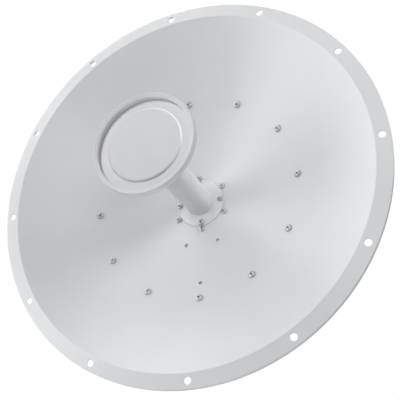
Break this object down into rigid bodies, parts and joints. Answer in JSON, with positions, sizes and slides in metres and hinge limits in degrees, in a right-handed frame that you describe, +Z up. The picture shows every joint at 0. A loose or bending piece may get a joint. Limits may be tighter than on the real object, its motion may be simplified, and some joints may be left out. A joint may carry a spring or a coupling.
{
  "type": "parabolic dish antenna",
  "caption": "Round parabolic dish with a flat drilled rim, a feed tube with a disc sub-reflector, and a pole bracket behind.",
  "frame": {"origin": "centre of the mast plate's rear face, on the dish's axis", "axes": "+Z up along the pole, -Y along the dish's boresight, +X to the right as seen from the front"},
  "size_m": [0.65, 0.4127, 0.65],
  "materials": {
    "white_paint": "white powder coat on spun aluminium, satin",
    "white_plastic": "moulded white plastic, satin",
    "cast_aluminium": "cast, bead-blasted",
    "zinc_steel": "hot-dip zinc, dull with a faint spangle",
    "bright_steel": "bright stainless"
  },
  "bodies": {
    "root": {"reflector": "white_paint", "feed_flange": "white_paint", "feed_tube": "white_plastic", "feed_cone": "white_plastic", "subreflector_cup": "white_plastic", "subreflector_cap": "white_plastic", "hub_plate": "cast_aluminium", "feed_block": "cast_aluminium", "feed_cover": "zinc_steel", "connector_left": "bright_steel", "connector_right": "bright_steel", "radio_plate": "zinc_steel", "boss_left": "zinc_steel", "boss_right": "zinc_steel", "boss_lower": "zinc_steel", "backing_ring": "zinc_steel", "beam_left": "zinc_steel", "beam_right": "zinc_steel", "crossbar_upper": "zinc_steel", "crossbar_lower": "zinc_steel", "tilt_base": "zinc_steel", "tilt_cheek_left": "zinc_steel", "tilt_cheek_right": "zinc_steel", "mast_plate": "zinc_steel", "mast_cheek_left": "zinc_steel", "mast_cheek_right": "zinc_steel", "pivot_bolt_left": "bright_steel", "pivot_bolt_right": "bright_steel", "lock_bolt_left": "bright_steel", "lock_bolt_right": "bright_steel", "jaw_upper": "cast_aluminium", "jaw_lower": "cast_aluminium", "clamp_bolt_left_upper": "bright_steel", "clamp_bolt_left_lower": "bright_steel", "clamp_bolt_right_upper": "bright_steel", "clamp_bolt_right_lower": "bright_steel"}
  },
  "joints": []
}
